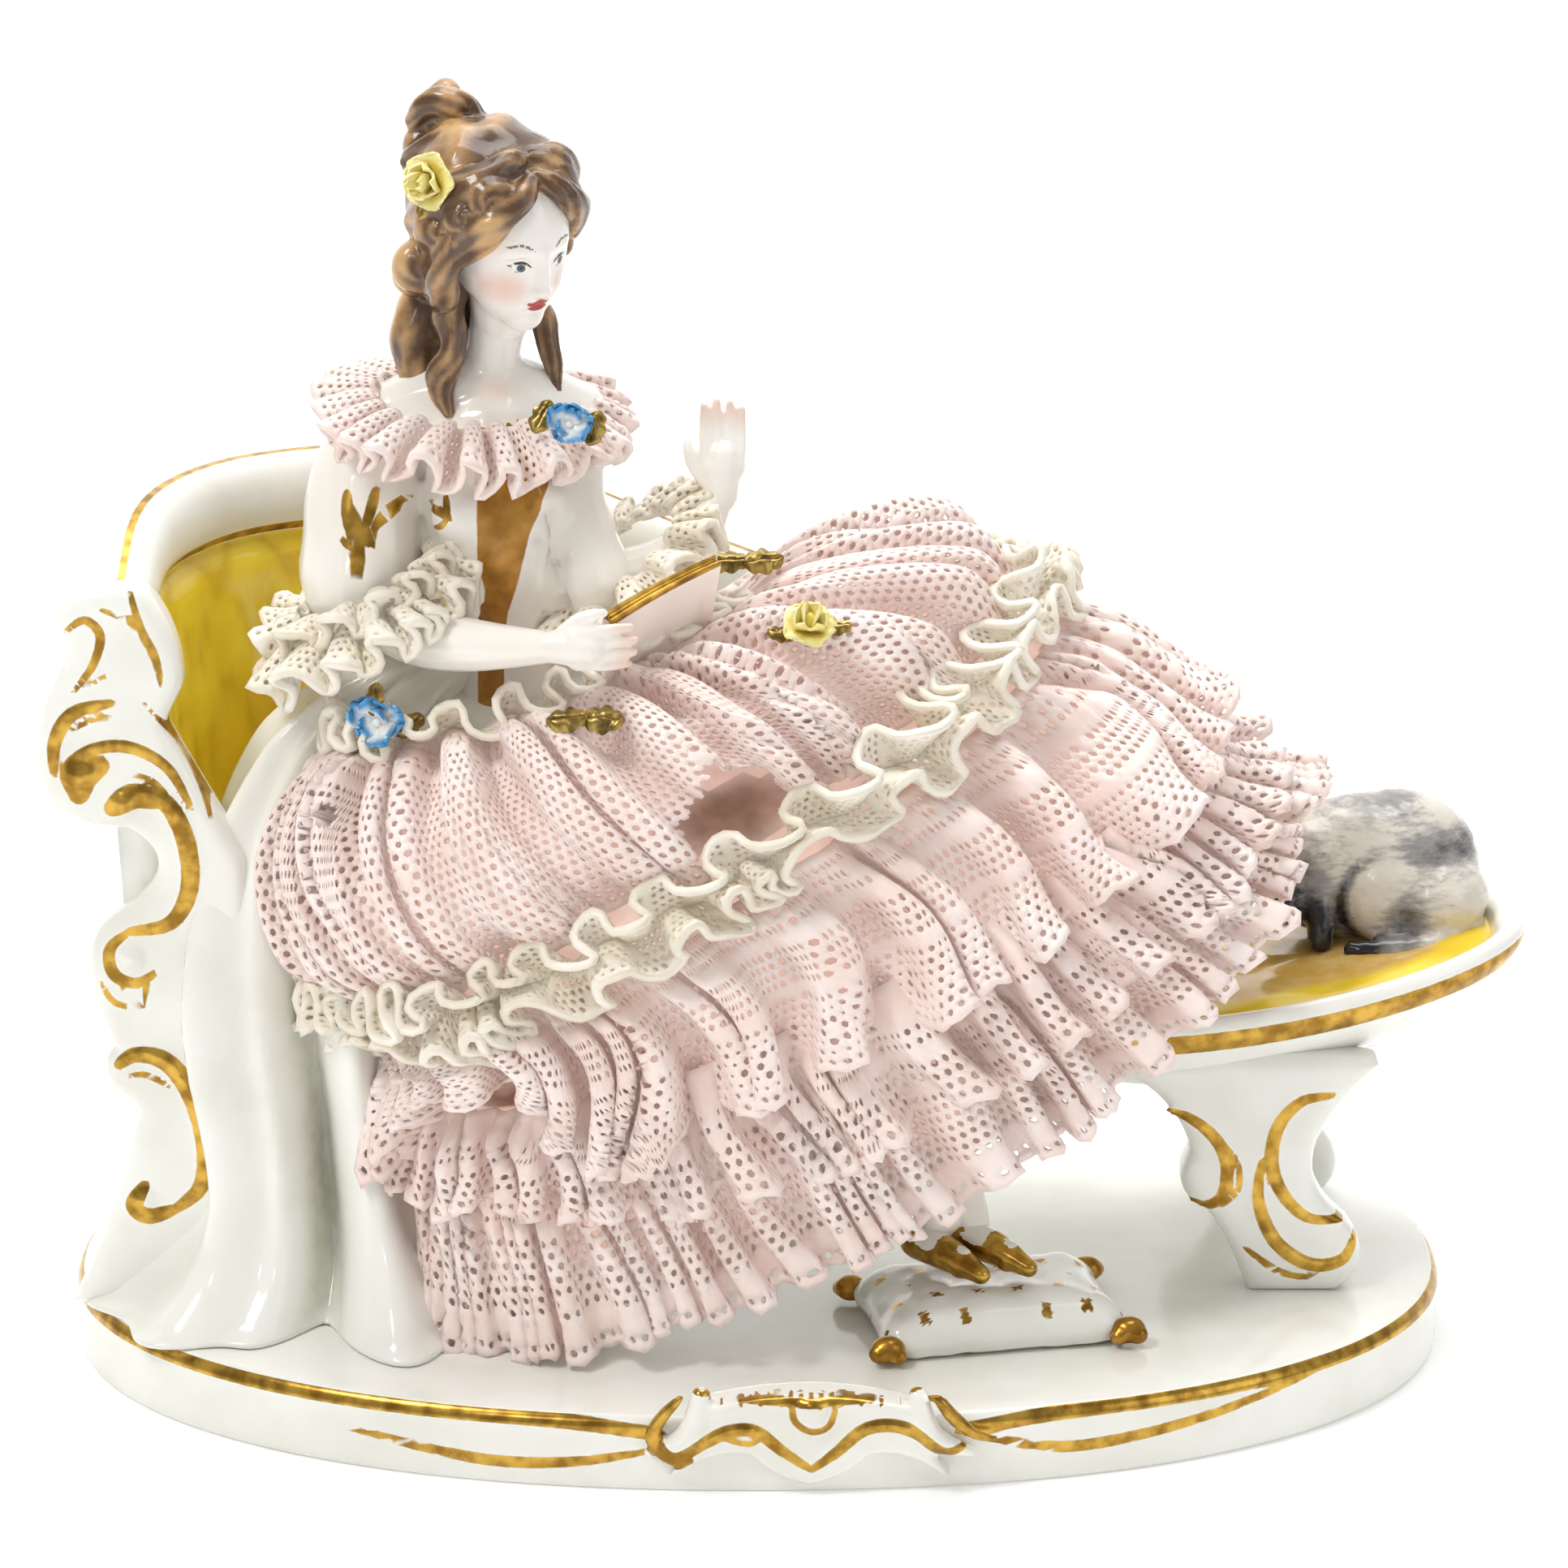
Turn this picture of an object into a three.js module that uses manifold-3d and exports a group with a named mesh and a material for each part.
// A porcelain figurine: a lady in a lace gown sits reading on a scrolled settee, with a cat asleep
// on its foot end and a cushion under her slippers, all on an oval plinth.
// Millimetres, +Z up. The origin is at the middle of the underside. She faces the front, which is -Y.
import * as THREE from "three";
import { mergeVertices } from "three/addons/utils/BufferGeometryUtils.js";
import Module from "manifold-3d";

const wasm = await Module();
wasm.setup();

// Plinth
const plinthLength = 218;
const plinthDepth = 138;
const plinthHeight = 12;
const plinthEdgeRound = 1.5;
const cartoucheWidth = 40;
const cartoucheHeight = 13.5;
const cartoucheRelief = 2;
const cartoucheCentre = 8;

// Settee
const seatLength = 212;
const seatDepth = 62;
const seatHeight = 46;
const seatRimWidth = 5;
const seatDish = 2;
const seatHull = 16;
const footRise = 8;
const backHeight = 121;
const backThickness = 6;
const crestRadius = 3.4;
const legWidth = 9;
const armFrontDepth = 9;

// Figure, cat, cushion, book and flowers
const figureHeight = 190;
const catLength = 36;
const cushionWidth = 40;
const cushionDepth = 27;
const cushionHeight = 8;
const tasselRadius = 2.6;
const bookWidth = 21;
const bookHeight = 20;
const bookThickness = 2;
const roseRadius = 4.6;
const blossomRadius = 3.8;
const leafLength = 5.5;

// Lace: how far it stands off the gown's core, its pleats and the tear in the overskirt
const laceStand = 4;
const laceInside = 0.9;
const overskirtPleats = 14;
const trimPleats = 20;
const flouncePleats = 17;
const collarPleats = 14;
const cuffPleats = 9;
const tearWidth = 12;

// Clearance between pieces that touch
const gap = 0.3;

const floor = plinthHeight + gap;
const seatCentre = { x: 16, y: 6 };
const seatEnd = seatCentre.x + seatLength / 2;

const v3 = (x, y, z) => new THREE.Vector3(x, y, z);
const degrees = THREE.MathUtils.degToRad;

// A point of the figure, whose shape is drawn 190 units high, z counted from the plinth's top
const unit = figureHeight / 190;
const fig = (x, y, z) => v3(x * unit, y * unit, floor + z * unit);
const figDirection = (x, y, z) => v3(x * unit, y * unit, z * unit);

// Making solids

function solidOf(geometry) {
  geometry.deleteAttribute("normal");
  geometry.deleteAttribute("uv");
  const merged = mergeVertices(geometry, 1e-4);
  return new wasm.Manifold(
    new wasm.Mesh({
      numProp: 3,
      vertProperties: merged.attributes.position.array,
      triVerts: new Uint32Array(merged.index.array),
    }),
  );
}

// Triangles as a solid with its faces pointing out, whichever way they were listed
function closed(positions, indices) {
  const geometry = new THREE.BufferGeometry();
  geometry.setAttribute("position", new THREE.Float32BufferAttribute(positions, 3));
  geometry.setIndex(indices);
  const made = solidOf(geometry);
  if (made.volume() > 0) return made;
  const turned = indices.slice();
  for (let i = 0; i < turned.length; i += 3)
    [turned[i + 1], turned[i + 2]] = [turned[i + 2], turned[i + 1]];
  geometry.setIndex(turned);
  return solidOf(geometry);
}

// A closed solid through rings of points, with flat fans over its two ends
function loft(rings) {
  const positions = [];
  const indices = [];
  const count = rings[0].length;
  rings.flat().forEach((p) => positions.push(p.x, p.y, p.z));
  const fan = (ring, first, outward) => {
    const middle = ring.reduce((sum, p) => sum.add(p), v3(0, 0, 0)).divideScalar(count);
    const centre = positions.length / 3;
    positions.push(middle.x, middle.y, middle.z);
    for (let i = 0; i < count; i++) {
      const a = first + i;
      const b = first + ((i + 1) % count);
      indices.push(centre, ...(outward ? [a, b] : [b, a]));
    }
  };
  for (let k = 0; k + 1 < rings.length; k++)
    for (let i = 0; i < count; i++) {
      const a = k * count + i;
      const b = k * count + ((i + 1) % count);
      indices.push(a, b, b + count, a, b + count, a + count);
    }
  fan(rings[0], 0, false);
  fan(rings[rings.length - 1], (rings.length - 1) * count, true);
  return closed(positions, indices);
}

// A ring-shaped solid: sections of points that follow one another round and close on the first
function hoop(sections) {
  const positions = [];
  const indices = [];
  const count = sections[0].length;
  sections.flat().forEach((p) => positions.push(p.x, p.y, p.z));
  sections.forEach((_, k) => {
    const next = (k + 1) % sections.length;
    for (let i = 0; i < count; i++) {
      const j = (i + 1) % count;
      const [a, b, c, d] = [k * count + i, k * count + j, next * count + j, next * count + i];
      indices.push(a, b, c, a, c, d);
    }
  });
  return closed(positions, indices);
}

function ball(centre, radii, { turn = v3(0, 0, 0), wide = 8, high = 6 } = {}) {
  const geometry = new THREE.SphereGeometry(1, wide, high);
  const rotation = new THREE.Quaternion().setFromEuler(new THREE.Euler(turn.x, turn.y, turn.z));
  geometry.applyMatrix4(new THREE.Matrix4().compose(centre, rotation, radii));
  return solidOf(geometry);
}

const figBall = (centre, radii, options) => ball(centre, radii.clone().multiplyScalar(unit), options);

// A round limb along a curve through points, its radius changing from each point to the next
function limb(points, radii, sides = 8, steps = 6) {
  const curve = new THREE.CatmullRomCurve3(points);
  const frames = curve.computeFrenetFrames(steps, false);
  const endShare = 0.6;
  const rings = [];
  const addRing = (centre, k, radius) =>
    rings.push(
      Array.from({ length: sides }, (_, i) => {
        const angle = (2 * Math.PI * i) / sides;
        return centre
          .clone()
          .addScaledVector(frames.normals[k], radius * Math.cos(angle))
          .addScaledVector(frames.binormals[k], radius * Math.sin(angle));
      }),
    );
  for (let k = 0; k <= steps; k++) {
    const along = (k / steps) * (radii.length - 1);
    const low = Math.min(Math.floor(along), radii.length - 2);
    const radius = THREE.MathUtils.lerp(radii[low], radii[low + 1], along - low);
    const centre = curve.getPoint(k / steps);
    const end = (side) => centre.clone().addScaledVector(frames.tangents[k], side * radius * endShare);
    if (k === 0) addRing(end(-1), k, radius * endShare);
    addRing(centre, k, radius);
    if (k === steps) addRing(end(1), k, radius * endShare);
  }
  return loft(rings);
}

const figLimb = (points, radii, sides, steps) =>
  limb(
    points.map((p) => fig(...p)),
    radii.map((r) => r * unit),
    sides,
    steps,
  );

// A scrolled plate: its outline stands upright in the x-z plane, its front face at y
function upright(outline, y, depth, bevel, curveSegments) {
  const plate = new THREE.ExtrudeGeometry(outline, {
    depth: depth - 2 * bevel,
    bevelEnabled: true,
    bevelThickness: bevel,
    bevelSize: bevel * 0.7,
    bevelSegments: 1,
    curveSegments,
  });
  plate.rotateX(Math.PI / 2);
  plate.translate(0, y + depth - bevel, 0);
  return solidOf(plate);
}

const joined = (solids) => solids.reduce((all, one) => all.add(one));

function nearby(a, b) {
  const [p, q] = [a.boundingBox(), b.boundingBox()];
  return [0, 1, 2].every((i) => p.min[i] - gap < q.max[i] && q.min[i] - gap < p.max[i]);
}

// A solid with its neighbour cut out of it, and a clearance all round the cut: the neighbour is cut
// out where it is and again moved towards each corner of a tetrahedron
function clearOf(solid, neighbour) {
  if (!nearby(solid, neighbour)) return solid;
  const moves = [
    [0, 0, 0],
    [gap, gap, gap],
    [gap, -gap, -gap],
    [-gap, gap, -gap],
    [-gap, -gap, gap],
  ];
  return moves.reduce((left, move) => left.subtract(neighbour.translate(...move)), solid);
}

// The largest single body of a solid, without crumbs that a cut leaves
const largest = (solid) => solid.decompose().reduce((best, s) => (s.volume() > best.volume() ? s : best));

// A smooth curve through values at even steps of t from 0 to 1
function through(values, t) {
  const at = THREE.MathUtils.clamp(t, 0, 1) * (values.length - 1);
  const i = Math.min(Math.floor(at), values.length - 2);
  const before = values[Math.max(i - 1, 0)];
  const after = values[Math.min(i + 2, values.length - 1)];
  const curve = new THREE.CubicBezierCurve3(
    v3(values[i], 0, 0),
    v3(values[i] + (values[i + 1] - before) / 6, 0, 0),
    v3(values[i + 1] - (after - values[i]) / 6, 0, 0),
    v3(values[i + 1], 0, 0),
  );
  return curve.getPoint(at - i).x;
}

// Plinth

function ovalPoint(angle, halfLength, halfDepth, power, z) {
  const [c, s] = [Math.cos(angle), Math.sin(angle)];
  return v3(
    halfLength * Math.sign(c) * Math.abs(c) ** (2 / power),
    halfDepth * Math.sign(s) * Math.abs(s) ** (2 / power),
    z,
  );
}

function plinthForm() {
  const sides = 40;
  const power = 2.2;
  const levels = [
    [0, 0.8],
    [0.8, 0],
    [plinthHeight - plinthEdgeRound, 0],
    [plinthHeight, plinthEdgeRound],
  ];
  return loft(
    levels.map(([z, inset]) =>
      Array.from({ length: sides }, (_, i) =>
        ovalPoint((2 * Math.PI * i) / sides, plinthLength / 2 - inset, plinthDepth / 2 - inset, power, z),
      ),
    ),
  );
}

// The cartouche on the plinth's front: a waved shield with a boss between two acanthus horns
function cartouche() {
  const half = cartoucheWidth / 2;
  const low = 2.2;
  const high = low + cartoucheHeight;
  const z = (share) => THREE.MathUtils.lerp(low, high, share);
  const outline = new THREE.Shape();
  outline.moveTo(-half, z(0.12));
  outline.quadraticCurveTo(-half * 0.7, z(0.45), -half * 0.42, z(0.34));
  outline.quadraticCurveTo(-half * 0.3, z(0.1), 0, z(0));
  outline.quadraticCurveTo(half * 0.3, z(0.1), half * 0.42, z(0.34));
  outline.quadraticCurveTo(half * 0.7, z(0.45), half, z(0.12));
  outline.quadraticCurveTo(half * 0.82, z(0.5), half * 0.8, z(0.84));
  outline.quadraticCurveTo(0, z(1.16), -half * 0.8, z(0.84));
  outline.quadraticCurveTo(-half * 0.82, z(0.5), -half * 0.97, z(0.18));
  const front = -plinthDepth / 2 - cartoucheRelief;
  const shield = upright(outline, front, 7, 0.8, 3).translate(cartoucheCentre, 0, 0);
  const boss = ball(v3(cartoucheCentre + 2, front, z(0.55)), v3(3.2, 1.2, 3.2), { wide: 6, high: 4 });
  const hornSpread = 7;
  const horns = [-1, 1].map((side) => {
    const point = (out, y, share) => v3(cartoucheCentre + side * (half * 0.86 + out), front + y, z(share));
    return limb([point(-1, 2.4, 0.98), point(1, 1, 0.55), point(hornSpread, 3, 0.3)], [2, 2.2, 1], 5, 3);
  });
  return joined([shield, boss, ...horns]);
}

// Settee

// Height of the seat's rim above the seat's own level: it sweeps up towards the foot end
function rimRise(x) {
  const start = seatCentre.x + seatLength * 0.22;
  const share = THREE.MathUtils.clamp((x - start) / (seatEnd - start), 0, 1);
  return footRise * share * share;
}

function seatRing(inset, below) {
  const sides = 26;
  const power = 2.6;
  return Array.from({ length: sides }, (_, i) => {
    const angle = (2 * Math.PI * i) / sides;
    const p = ovalPoint(angle, seatLength / 2 - inset, seatDepth / 2 - inset * 0.8, power, 0);
    const x = seatCentre.x + p.x;
    return v3(x, seatCentre.y + p.y, floor + seatHeight + rimRise(x) - below);
  });
}

// The seat's boat-shaped hull, whose upholstered top is dished inside the rim
function seatForm() {
  return loft([
    seatRing(seatHull + 6, seatHull),
    seatRing(seatHull * 0.5, seatHull * 0.7),
    seatRing(0, seatHull * 0.22),
    seatRing(seatRimWidth * 0.4, 0),
    seatRing(seatRimWidth, seatDish),
  ]);
}

// The room above the seat's rim, and the seat itself, for what has to stay clear of it
const seatEnvelope = () => loft([seatRing(-2 * gap, seatHull + 2 * gap), seatRing(-2 * gap, -2 * gap)]);

// The line of the back's crest in plan, from the arm's front round the left end and along the rear,
// with its height as a share of the back's
const crestLine = [
  [-97, -20, 0.93],
  [-96, -4, 0.985],
  [-91, 12, 1],
  [-80, 27, 1],
  [-62, 35, 0.995],
  [-38, 38, 0.965],
  [-12, 38, 0.88],
  [14, 37, 0.79],
  [38, 35, 0.64],
  [60, 33, 0.46],
  [80, 30, 0.385],
];

function crestPoint(t) {
  const [x, y, share] = [0, 1, 2].map((axis) =>
    through(
      crestLine.map((p) => p[axis]),
      t,
    ),
  );
  return v3(x, y, floor + share * backHeight);
}

// The wrapped back: a wall that leans out to a rolled crest, arched open under the seat at the rear
function backForm() {
  const steps = 17;
  const crestLean = 5.5;
  const archStart = 0.46;
  const rings = Array.from({ length: steps + 1 }, (_, k) => {
    const t = k / steps;
    const top = crestPoint(t);
    const ahead = crestPoint(Math.min(t + 0.01, 1)).sub(crestPoint(Math.max(t - 0.01, 0)));
    const outward = v3(-ahead.y, ahead.x, 0).normalize();
    const tallness = (top.z - floor - seatHeight) / (backHeight - seatHeight);
    const lean = crestLean * THREE.MathUtils.clamp(tallness, 0, 1);
    const arch = THREE.MathUtils.smoothstep(t, archStart, archStart + 0.12);
    const bottom = floor + arch * (seatHeight - seatHull * 0.7);
    const wall = (share, side) =>
      v3(top.x, top.y, THREE.MathUtils.lerp(bottom, top.z - crestRadius, share)).addScaledVector(
        outward,
        (share - 1) * lean + (side * backThickness) / 2,
      );
    const roll = (angle) =>
      top
        .clone()
        .addScaledVector(outward, crestRadius * Math.cos(degrees(angle)))
        .add(v3(0, 0, crestRadius * Math.sin(degrees(angle))));
    const crest = [10, 60, 120, 170].map(roll);
    return [wall(0, 1), wall(0.5, 1), wall(1, 1), ...crest, wall(1, -1), wall(0.5, -1), wall(0, -1)];
  });
  return loft(rings);
}

// The scrolled front of the arm, from the crest down to the plinth and back up its inner edge
function armFront() {
  const z = (share) => floor + share * backHeight;
  const outline = new THREE.Shape();
  outline.moveTo(-93, z(0.95));
  outline.lineTo(-101, z(0.95));
  outline.quadraticCurveTo(-106, z(0.93), -105.5, z(0.9));
  outline.quadraticCurveTo(-103, z(0.87), -106, z(0.83));
  outline.quadraticCurveTo(-110, z(0.77), -108.5, z(0.7));
  outline.quadraticCurveTo(-105, z(0.64), -96, z(0.65));
  outline.quadraticCurveTo(-86, z(0.6), -95.5, z(0.535));
  outline.quadraticCurveTo(-102.5, z(0.51), -102, z(0.45));
  outline.quadraticCurveTo(-100.5, z(0.37), -98, z(0.35));
  outline.quadraticCurveTo(-101.5, z(0.33), -99.5, z(0.3));
  outline.quadraticCurveTo(-96, z(0.28), -95, z(0.26));
  outline.quadraticCurveTo(-99, z(0.13), -106, z(0));
  outline.lineTo(-72, z(0));
  outline.quadraticCurveTo(-80, z(0.3), -79, z(0.6));
  outline.quadraticCurveTo(-86, z(0.7), -91, z(0.78));
  outline.lineTo(-88, z(0.83));
  return upright(outline, -25, armFrontDepth, 1, 2);
}

// A cabriole leg with a leaf scroll at its knee
function legForm(y) {
  const x = (fromEnd) => seatEnd - fromEnd;
  const z = (share) => floor + share * (seatHeight - seatHull * 0.55);
  const outline = new THREE.Shape();
  outline.moveTo(x(66), z(1));
  outline.quadraticCurveTo(x(56), z(0.9), x(53), z(0.62));
  outline.quadraticCurveTo(x(57), z(0.44), x(51), z(0.38));
  outline.quadraticCurveTo(x(47), z(0.25), x(44), z(0));
  outline.lineTo(x(31), z(0));
  outline.quadraticCurveTo(x(25), z(0.12), x(30), z(0.28));
  outline.quadraticCurveTo(x(38), z(0.45), x(35), z(0.68));
  outline.quadraticCurveTo(x(32), z(0.85), x(26), z(1));
  return upright(outline, y, legWidth, 1, 2);
}

function setteeForm() {
  const legInset = 6;
  const frontLeg = seatCentre.y - seatDepth / 2 + legInset;
  const rearLeg = seatCentre.y + seatDepth / 2 - legInset - legWidth;
  return joined([seatForm(), backForm(), armFront(), legForm(frontLeg), legForm(rearLeg)]);
}

// Gown. Its bell runs from the waist to the hem through six rings. Each ring is a centre, a vector
// to its end at her left (a), one to its bulge at the front (b), and one to the rear (c). The rings
// lie where the middle of the lace is.
const bellRings = [
  { at: 0, centre: [-33, -12, 104], a: [27, 6, 7], b: [-3, -14, -4], c: [0, 13, 2] },
  { at: 0.28, centre: [-24, -10, 92], a: [46, 11, 20], b: [1, -30, -3], c: [-2, 18, 1] },
  { at: 0.5, centre: [-10, -6, 79], a: [53, 16, 29], b: [6, -38, -3], c: [-4, 22, 0] },
  { at: 0.62, centre: [3, -10, 71], a: [56.5, 18, 25], b: [6, -33, -7], c: [-6, 20, 0] },
  { at: 0.8, centre: [10, -14, 57], a: [62.5, 16, 28], b: [8, -30, -11], c: [-8, 18, 0] },
  { at: 1, centre: [19, -16, 40], a: [69, 18, 37], b: [13, -28, -15], c: [-10, 14, -2] },
];

// A value of the bell at v, smooth between the rings
function bellValue(key, axis, v) {
  const ring = (k) => bellRings[THREE.MathUtils.clamp(k, 0, bellRings.length - 1)];
  const above = bellRings.findIndex((r) => r.at > v);
  const i = above < 1 ? bellRings.length - 2 : above - 1;
  const [p0, p1, p2, p3] = [ring(i - 1), ring(i), ring(i + 1), ring(i + 2)];
  const width = p2.at - p1.at;
  const slope = (from, to) => ((to[key][axis] - from[key][axis]) / (to.at - from.at)) * width;
  const u = (v - p1.at) / width;
  return (
    p1[key][axis] * (1 + 2 * u) * (1 - u) ** 2 +
    slope(p0, p2) * u * (1 - u) ** 2 +
    p2[key][axis] * u * u * (3 - 2 * u) +
    slope(p1, p3) * u * u * (u - 1)
  );
}

// A point of the bell: angle 0 is at her left, a quarter turn on is the front, a half turn her right
function bellPoint(angle, v) {
  const [cos, sin] = [Math.cos(angle), Math.sin(angle)];
  const across = sin > 0 ? "b" : "c";
  const value = (axis) =>
    bellValue("centre", axis, v) +
    bellValue("a", axis, v) * cos +
    bellValue(across, axis, v) * Math.abs(sin);
  return fig(value(0), value(1), value(2));
}

// The same point moved out of the bell's surface by lift
function bellOut(angle, v, lift) {
  const step = 0.02;
  const round = bellPoint(angle + step, v).sub(bellPoint(angle - step, v));
  const down = bellPoint(angle, Math.min(v + step, 1)).sub(bellPoint(angle, Math.max(v - step, 0)));
  return bellPoint(angle, v).addScaledVector(round.cross(down).normalize(), lift * unit);
}

// The gown's core under the lace, ending a little short of the lace's hem
function gownCore() {
  const sides = 20;
  const levels = [0, 0.22, 0.44, 0.62, 0.8, 0.975];
  return loft(
    levels.map((v) =>
      Array.from({ length: sides }, (_, i) => bellOut((2 * Math.PI * i) / sides, v, -laceStand)),
    ),
  );
}

// Tiers of lace round the front of the bell. rise lists how far the lace stands out of the bell's
// surface at even steps from its gathered edge (v0) to its hem (v1), and wave how deep its pleats are.
const tiers = {
  waist_frill: {
    v0: 0.002,
    v1: 0.042,
    from: degrees(20),
    to: degrees(205),
    pleats: 12,
    rise: [-0.5, 1.2],
    wave: 1.2,
  },
  overskirt: {
    v0: 0.055,
    v1: 0.462,
    from: degrees(-30),
    to: degrees(198),
    pleats: overskirtPleats,
    rise: [-1.5, 0.8, 2.2, -0.5],
    wave: 1.5,
  },
  cream_trim: {
    v0: 0.475,
    v1: 0.54,
    from: degrees(-22),
    to: degrees(193),
    pleats: trimPleats,
    rise: [-0.5, 1.8],
    wave: 1.8,
  },
  upper_flounce: {
    v0: 0.553,
    v1: 0.655,
    from: degrees(-18),
    to: degrees(190),
    pleats: flouncePleats,
    rise: [-1.5, 0.6, 1.8],
    wave: 1.7,
  },
  middle_flounce: {
    v0: 0.668,
    v1: 0.82,
    from: degrees(-14),
    to: degrees(187),
    pleats: flouncePleats,
    rise: [-1.5, 0.4, 1.6],
    wave: 1.8,
  },
  lower_flounce: {
    v0: 0.833,
    v1: 1,
    from: degrees(-8),
    to: degrees(184),
    pleats: flouncePleats,
    rise: [-1.5, 0, 0.4],
    wave: 1.6,
  },
};

function tierForm({ v0, v1, from, to, pleats, rise, wave }) {
  const steps = pleats * 2;
  return loft(
    Array.from({ length: steps + 1 }, (_, k) => {
      const angle = THREE.MathUtils.lerp(from, to, k / steps);
      const atEnd = k === 0 || k === steps;
      const side = atEnd ? 0 : k % 2 ? 1 : -1;
      const outer = rise.map((lift, n) => {
        const share = n / (rise.length - 1);
        const depth = wave * side * (0.25 + 0.75 * share);
        return bellOut(angle, THREE.MathUtils.lerp(v0, v1, share), lift + depth);
      });
      const inner = (share) => bellOut(angle, THREE.MathUtils.lerp(v0, v1, share), laceInside - laceStand);
      const back = outer.length > 3 ? [inner(1), inner(0.5), inner(0)] : [inner(1), inner(0)];
      return [...outer, ...back];
    }),
  );
}

// The ragged tear at the front of the overskirt
const tear = () =>
  ball(bellOut(degrees(75), 0.4, 1.5), v3(tearWidth * 0.42, tearWidth * 0.5, tearWidth * 0.55), {
    turn: v3(0, degrees(28), 0),
    wide: 7,
    high: 5,
  });

// The train: plain cloth that falls from her right hip to the plinth in a few deep folds
function trainForm() {
  const levels = [
    { z: 0, x: -64, y: -17, long: 36, deep: 24, fold: 0.09 },
    { z: 8, x: -65, y: -16, long: 28, deep: 20, fold: 0.12 },
    { z: 30, x: -66, y: -14, long: 22, deep: 16, fold: 0.12 },
    { z: 72, x: -64, y: -11, long: 19, deep: 14, fold: 0.08 },
    { z: 94, x: -57, y: -8, long: 16, deep: 12, fold: 0.04 },
    { z: 104, x: -46, y: -7, long: 10, deep: 8, fold: 0 },
  ];
  const folds = 5;
  const sides = folds * 4;
  const twist = 0.012;
  return loft(
    levels.map(({ z, x, y, long, deep, fold }) =>
      Array.from({ length: sides }, (_, i) => {
        const angle = (2 * Math.PI * i) / sides;
        const reach = 1 + fold * Math.cos(folds * angle + z * twist);
        return fig(x + long * reach * Math.cos(angle), y + deep * reach * Math.sin(angle), z);
      }),
    ),
  );
}

function bust() {
  const spine = [[-36, -9, 96], [-36.5, -9, 107], [-38.5, -11, 122], [-40.5, -9, 136]];
  return joined([
    figLimb(spine, [12, 9.2, 12.4, 10], 9, 4),
    figBall(fig(-33.5, -18, 126), v3(5.6, 4.6, 5), { wide: 6, high: 4 }),
    figBall(fig(-44, -19, 126), v3(5.6, 4.6, 5), { wide: 6, high: 4 }),
    figLimb([[-57, -7, 138], [-42, -8, 142], [-28, -4, 138]], [5.6, 7.2, 5.6], 7, 3),
    figLimb([[-41, -8.5, 140], [-38.6, -9.5, 156]], [5.2, 4.6], 7, 1),
  ]);
}

// Her head, on a frame of its own: x to her left, y behind her, z up; it is turned and bowed
const headCentre = fig(-38, -12.5, 166.5);
const headTurn = new THREE.Euler(degrees(17), degrees(-4), degrees(38), "ZXY");
const onHead = (x, y, z) => v3(x, y, z).multiplyScalar(unit).applyEuler(headTurn).add(headCentre);

function headBall(x, y, z, rx, ry, rz, wide = 7, high = 5) {
  const geometry = new THREE.SphereGeometry(1, wide, high);
  geometry.rotateX(Math.PI / 2);
  const rotation = new THREE.Quaternion().setFromEuler(headTurn);
  const radii = v3(rx, ry, rz).multiplyScalar(unit);
  geometry.applyMatrix4(new THREE.Matrix4().compose(onHead(x, y, z), rotation, radii));
  return solidOf(geometry);
}

function head() {
  const nose = limb([onHead(0, -10.4, 1.5), onHead(0, -12.2, -2.8)], [0.8 * unit, 1.3 * unit], 5, 1);
  return joined([
    headBall(0, -1, 0, 9, 10.5, 12, 10, 8),
    headBall(0, -4.5, -6.5, 6.2, 6.6, 6.4, 7, 5),
    headBall(0, -8.6, -10.2, 2.6, 2.4, 2.2, 5, 4),
    nose,
  ]);
}

// Her hair: a full crown, curls over the temples, a coiled bun and locks that fall to the shoulders
function hair() {
  const curlRadius = 4.6;
  const curls = [
    [-11.5, -0.5, 2.5],
    [11, -0.5, 2.5],
    [-11, 3.5, -5],
    [-5.5, -6, 10.5],
    [5.5, -6, 10.5],
  ].map(([x, y, z]) => headBall(x, y, z, curlRadius, curlRadius, curlRadius, 6, 4));
  return joined([
    headBall(0, 4.2, 4.2, 13, 13.2, 13, 9, 6),
    ...curls,
    figBall(fig(-45, -5, 181.5), v3(7.4, 7, 5.4), { wide: 7, high: 5 }),
    figBall(fig(-47, -4, 187), v3(5.2, 5, 4), { wide: 7, high: 4 }),
    figBall(fig(-40.5, -7, 183.5), v3(4.6, 4.4, 4), { wide: 5, high: 4 }),
    figLimb([[-45, -5, 166], [-47, -6, 155], [-50.5, -7.5, 145]], [6.4, 5.6, 4.4], 7, 3),
    figLimb([[-42, -12.5, 158], [-43.2, -14.5, 150], [-44.5, -16, 142]], [3.6, 3, 1.2], 6, 3),
    figLimb([[-32, -4, 155], [-30, -5, 146], [-29, -8, 141]], [3, 2.6, 1.4], 6, 2),
  ]);
}

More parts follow.
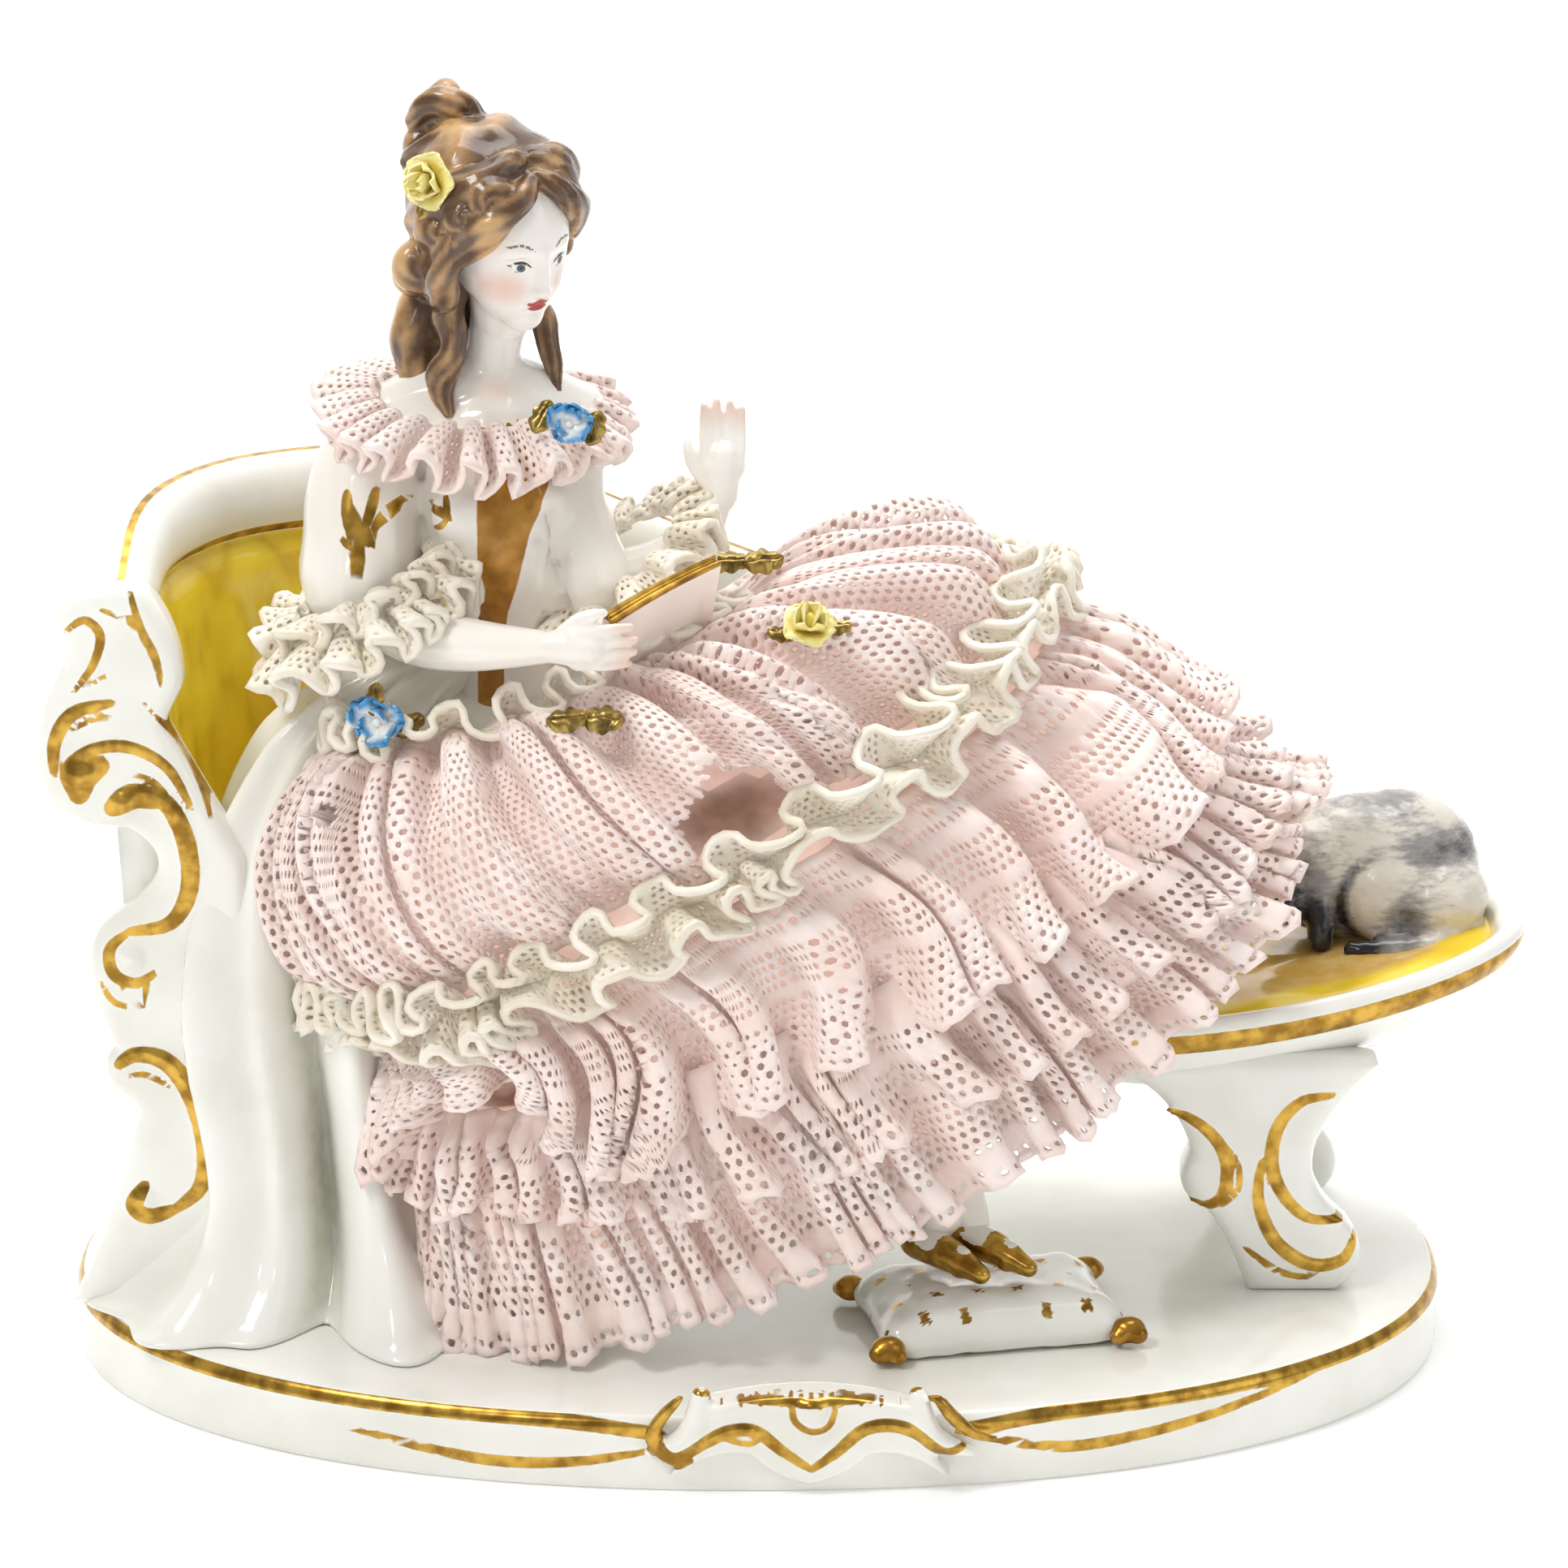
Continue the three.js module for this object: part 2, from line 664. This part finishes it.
// A hand with four fingers and a thumb: grip is the way the fingers point, side the way across the
// palm towards the little finger, curl how far the fingers bend
function hand({ wrist, grip, side, curl, size = 1 }) {
  const scale = unit * size;
  const away = grip.clone().cross(side).normalize();
  const at = (along, across, bend) =>
    wrist
      .clone()
      .addScaledVector(grip, along * scale)
      .addScaledVector(side, across * scale)
      .addScaledVector(away, bend * scale);
  const fingers = [-2.6, -0.9, 0.9, 2.5].map((across, i) => {
    const reach = 3.4 * (1 - curl) + (i === 1 || i === 2 ? 1 : 0.2);
    const points = [at(4.4, across, 0), at(7.6, across, 0.4 * curl), at(7.6 + reach, across, 3 * curl)];
    return limb(points, [1.15 * scale, 0.75 * scale], 4, 2);
  });
  const palm = limb([at(0, 0, 0), at(5, 0, 0)], [2.5 * scale, 3.2 * scale], 6, 1);
  const thumb = limb([at(1.4, -2, 0.4), at(5.6, -4.8, 1)], [1.3 * scale, 0.85 * scale], 4, 1);
  return joined([palm, thumb, ...fingers]);
}

function arms() {
  return joined([
    figLimb([[-57, -7, 138], [-60, -9, 128], [-60, -13, 115]], [6.6, 8.6, 9.2], 7, 3),
    figLimb([[-58, -15, 110], [-45, -28, 109], [-30, -37.5, 110.5]], [5, 4.3, 2.7], 6, 3),
    hand({
      wrist: fig(-30, -37.5, 110.5),
      grip: v3(0.96, -0.28, 0.02).normalize(),
      side: v3(0.05, 0.1, -1).normalize(),
      curl: 0.55,
      size: 1.12,
    }),
    figLimb([[-28, -5, 137], [-30, -12, 126], [-26.5, -15, 116]], [6, 7.6, 8.2], 7, 3),
    figLimb([[-23, -14, 115], [-12, -12, 118], [-5.5, -10, 128]], [4.6, 3.8, 2.4], 6, 3),
    hand({
      wrist: fig(-5.2, -10, 127.5),
      grip: v3(0.02, 0.1, 1).normalize(),
      side: v3(1, 0.2, 0).normalize(),
      curl: 0.15,
      size: 1.12,
    }),
  ]);
}

function feet() {
  return joined([
    figLimb([[22, -18, 46], [29, -27, 14]], [7.5, 4], 7, 1),
    figLimb([[24, -26, 11.5], [34, -36.5, 9.8]], [2.9, 1.4], 6, 1),
    figLimb([[31, -26, 12.5], [41.5, -34, 10]], [2.9, 1.4], 6, 1),
  ]);
}

function ladyForm() {
  const aboveSeat = joined([gownCore(), trainForm()]).subtract(seatEnvelope());
  return joined([aboveSeat, bust(), head(), hair(), arms(), feet()]);
}

// A ruffled ring of lace round a limb or the shoulders, gathered on the oval that long and wide span
function ruffle({ centre, long, wide, axis, pleats, flare, drop, wave, thickness }) {
  const steps = pleats * 2;
  return hoop(
    Array.from({ length: steps }, (_, k) => {
      const angle = (2 * Math.PI * k) / steps;
      const spoke = long.clone().multiplyScalar(Math.cos(angle)).addScaledVector(wide, Math.sin(angle));
      const out = spoke.clone().normalize();
      const side = k % 2 ? 1 : -1;
      const at = (outBy, dropBy) =>
        centre
          .clone()
          .add(spoke)
          .addScaledVector(out, outBy * unit)
          .addScaledVector(axis, dropBy * unit);
      const half = thickness / 2;
      return [
        at(0, -half),
        at(flare + wave * side * 0.5, drop + wave * side - half),
        at(flare + wave * side * 0.5, drop + wave * side + half),
        at(0, half),
      ];
    }),
  );
}

const ruffles = {
  collar_frill: {
    centre: fig(-43, -9.5, 142),
    long: figDirection(15, 3, -1.4),
    wide: figDirection(0, 11, 1.8),
    axis: v3(0, -0.1, -1).normalize(),
    pleats: collarPleats,
    flare: 9.5,
    drop: 4.5,
    wave: 2.2,
    thickness: 2.4,
  },
  right_cuff: {
    centre: fig(-60, -16, 110.5),
    long: figDirection(10.5, -3, 5),
    wide: figDirection(2, 9, 1),
    axis: v3(0.4, -0.35, -0.85).normalize(),
    pleats: cuffPleats,
    flare: 8,
    drop: 2.5,
    wave: 2.6,
    thickness: 2.4,
  },
  left_cuff: {
    centre: fig(-21, -12, 118),
    long: figDirection(8.5, 1.5, 6),
    wide: figDirection(-2, 7, 1.5),
    axis: v3(0.55, -0.35, -0.6).normalize(),
    pleats: cuffPleats,
    flare: 4.5,
    drop: 1.5,
    wave: 2,
    thickness: 2,
  },
};

// Book, cushion, cat and flowers

// The book leans back from her right hand, its cover to the front
function bookForm() {
  const topLeft = fig(-22, -37.5, 115);
  const across = v3(16.8, 12, 6.3).normalize();
  const down = v3(-8, 14, -25.6);
  down.addScaledVector(across, -down.dot(across)).normalize();
  const outward = across.clone().cross(down).normalize();
  const middle = topLeft.clone().addScaledVector(across, bookWidth / 2).addScaledVector(down, bookHeight / 2);
  const board = new THREE.BoxGeometry(bookWidth, bookHeight, bookThickness);
  board.applyMatrix4(new THREE.Matrix4().makeBasis(across, down, outward).setPosition(middle));
  return solidOf(board);
}

// The cushion lies turned on the plinth, pinched at its corners, where its tassels are
function cushionForm() {
  const centre = v3(36, -32, floor);
  const turn = degrees(12);
  const placedAt = (p) => p.applyAxisAngle(v3(0, 0, 1), turn).add(centre);
  const [halfWidth, halfDepth] = [cushionWidth / 2, cushionDepth / 2];
  const levels = [
    [0, 0.93],
    [0.3, 1],
    [0.78, 0.82],
    [1, 0.45],
  ];
  const sides = 16;
  const pillow = loft(
    levels.map(([rise, share]) =>
      Array.from({ length: sides }, (_, i) => {
        const angle = (2 * Math.PI * i) / sides;
        const pinch = 1 - 0.05 * Math.cos(4 * angle);
        const [long, deep] = [halfWidth * share * pinch, halfDepth * share * pinch];
        return placedAt(ovalPoint(angle, long, deep, 4.5, rise * cushionHeight));
      }),
    ),
  );
  const corner = 0.93;
  const tassels = [-1, 1].flatMap((sx) =>
    [-1, 1].map((sy) =>
      ball(
        placedAt(v3(sx * halfWidth * corner, sy * halfDepth * corner, tasselRadius * 0.85)),
        v3(tasselRadius * 1.2, tasselRadius, tasselRadius * 0.85),
        { turn: v3(0, 0, turn), wide: 6, high: 3 },
      ),
    ),
  );
  return joined([pillow, ...tassels]);
}

// The cat lies curled on the foot end: haunches to the right, head laid down at the left
function catForm() {
  const size = catLength / 36;
  const fromSeatEnd = 22;
  const x = seatEnd - fromSeatEnd;
  const centre = v3(x, seatCentre.y + 3, floor + seatHeight + rimRise(x) - seatDish);
  const at = (x, y, z) => v3(x, y, z).multiplyScalar(size).add(centre);
  const part = (x, y, z, rx, ry, rz, wide, high) =>
    ball(at(x, y, z), v3(rx, ry, rz).multiplyScalar(size), { wide, high });
  const bedSlope = degrees(-3);
  const bed = new THREE.BoxGeometry(3 * catLength, 3 * catLength, catLength);
  bed.translate(0, 0, -catLength / 2 + 1.5 * gap);
  bed.rotateY(bedSlope);
  bed.translate(centre.x, centre.y, centre.z);
  return joined([
    part(1, 3, 11, 16.5, 11, 14, 9, 6),
    part(10, 1, 8, 8.6, 11, 9, 7, 4),
    part(2, -7, 7.5, 7.6, 5, 7.4, 6, 4),
    part(-12, -3, 9, 6, 7, 7, 6, 4),
    limb([at(-10, -6, 8), at(-9, -9, 1.5)], [3.2 * size, 2.4 * size], 5, 1),
    limb([at(16, -6, 2.4), at(6, -12, 1.6), at(-1, -11.5, 1.8)], [1.7 * size, 1.8 * size, 1.6 * size], 5, 3),
  ]).subtract(solidOf(bed));
}

// A rolled rose or blossom: lobed petals that open round a raised heart, facing the way given
function bloom(centre, facing, radius, petals) {
  const turn = new THREE.Quaternion().setFromUnitVectors(v3(0, 0, 1), facing.clone().normalize());
  const levels = [
    { reach: 0.35, height: -0.45, lobe: 0 },
    { reach: 0.95, height: 0.05, lobe: 0.16 },
    { reach: 0.72, height: 0.38, lobe: 0.12 },
    { reach: 0.42, height: 0.3, lobe: 0.05 },
    { reach: 0.2, height: 0.68, lobe: 0 },
  ];
  const sides = petals * 2;
  return loft(
    levels.map(({ reach, height, lobe }) =>
      Array.from({ length: sides }, (_, i) => {
        const angle = (2 * Math.PI * i) / sides;
        const out = reach * (1 + lobe * (i % 2 ? 1 : -1));
        return v3(out * Math.cos(angle), out * Math.sin(angle), height)
          .multiplyScalar(radius)
          .applyQuaternion(turn)
          .add(centre);
      }),
    ),
  );
}

// Two gilt leaves that lie end to end
function leafPair(centre, along, length) {
  const direction = along.clone().normalize();
  const turn = v3(0, -Math.asin(direction.z), Math.atan2(direction.y, direction.x));
  const leaf = (side) =>
    ball(
      centre.clone().addScaledVector(direction, side * length * 0.52),
      v3(length * 0.58, length * 0.36, length * 0.36),
      { turn, wide: 6, high: 4 },
    );
  return leaf(-1).add(leaf(1));
}

// Assembly: each piece is cut clear of the pieces placed before it

const finishes = {
  glazedWhite: { color: 0xf1eee3, roughness: 0.12, metalness: 0 },
  pinkLace: { color: 0xeec9c0, roughness: 0.55, metalness: 0 },
  creamLace: { color: 0xece6d2, roughness: 0.5, metalness: 0 },
  yellowGlaze: { color: 0xead75f, roughness: 0.2, metalness: 0 },
  blueGlaze: { color: 0x4f9fd0, roughness: 0.2, metalness: 0 },
  greyGlaze: { color: 0x8c8c90, roughness: 0.2, metalness: 0 },
  gilding: { color: 0xb48a2e, roughness: 0.3, metalness: 0.9 },
};

const figurine = new THREE.Group();
const placed = [];

function place(name, solid, finish) {
  const body = largest(placed.reduce(clearOf, solid)).asOriginal();
  const mesh = body.getMesh();
  const geometry = new THREE.BufferGeometry();
  geometry.setAttribute("position", new THREE.BufferAttribute(new Float32Array(mesh.vertProperties), 3));
  geometry.setIndex(new THREE.BufferAttribute(new Uint32Array(mesh.triVerts), 1));
  const made = new THREE.Mesh(geometry, new THREE.MeshStandardMaterial(finishes[finish]));
  made.name = name;
  figurine.add(made);
  placed.push(body);
}

place("plinth", plinthForm().add(cartouche()), "glazedWhite");
place("settee", setteeForm(), "glazedWhite");
place("foot_cushion", cushionForm(), "glazedWhite");
place("cat", catForm(), "greyGlaze");
place("book", bookForm(), "glazedWhite");
place("lady", ladyForm(), "glazedWhite");

for (const [name, shape] of Object.entries(tiers)) {
  const finish = name === "cream_trim" || name === "waist_frill" ? "creamLace" : "pinkLace";
  const lace = tierForm(shape);
  place(name, name === "overskirt" ? lace.subtract(tear()) : lace, finish);
}
for (const [name, shape] of Object.entries(ruffles))
  place(name, ruffle(shape), name === "collar_frill" ? "pinkLace" : "creamLace");

const onLace = (degreesRound, v, lift) => bellOut(degrees(degreesRound), v, lift);
const flowers = [
  ["hair_rose", onHead(-12.8, 1.5, 10.5), v3(-0.5, -0.85, 0.1), roseRadius, "yellowGlaze"],
  ["collar_flower", fig(-29, -24, 141.5), v3(0.2, -0.9, 0.35), blossomRadius, "blueGlaze"],
  ["hip_flower", onLace(136, 0.03, 4.5), v3(-0.36, -0.9, 0.3), blossomRadius, "blueGlaze"],
  ["skirt_rose", onLace(46, 0.265, 5), v3(0.1, -0.6, 0.8), roseRadius, "yellowGlaze"],
];
for (const [name, centre, facing, radius, finish] of flowers)
  place(name, bloom(centre, facing, radius * unit, 5), finish);

place("lap_leaves", leafPair(onLace(85, 0.185, 4), v3(1, -0.1, 0.1), leafLength * unit), "gilding");
place("knee_leaves", leafPair(onLace(8, 0.05, 3.5), v3(1, 0, 0.2), leafLength * unit), "gilding");

export default figurine;
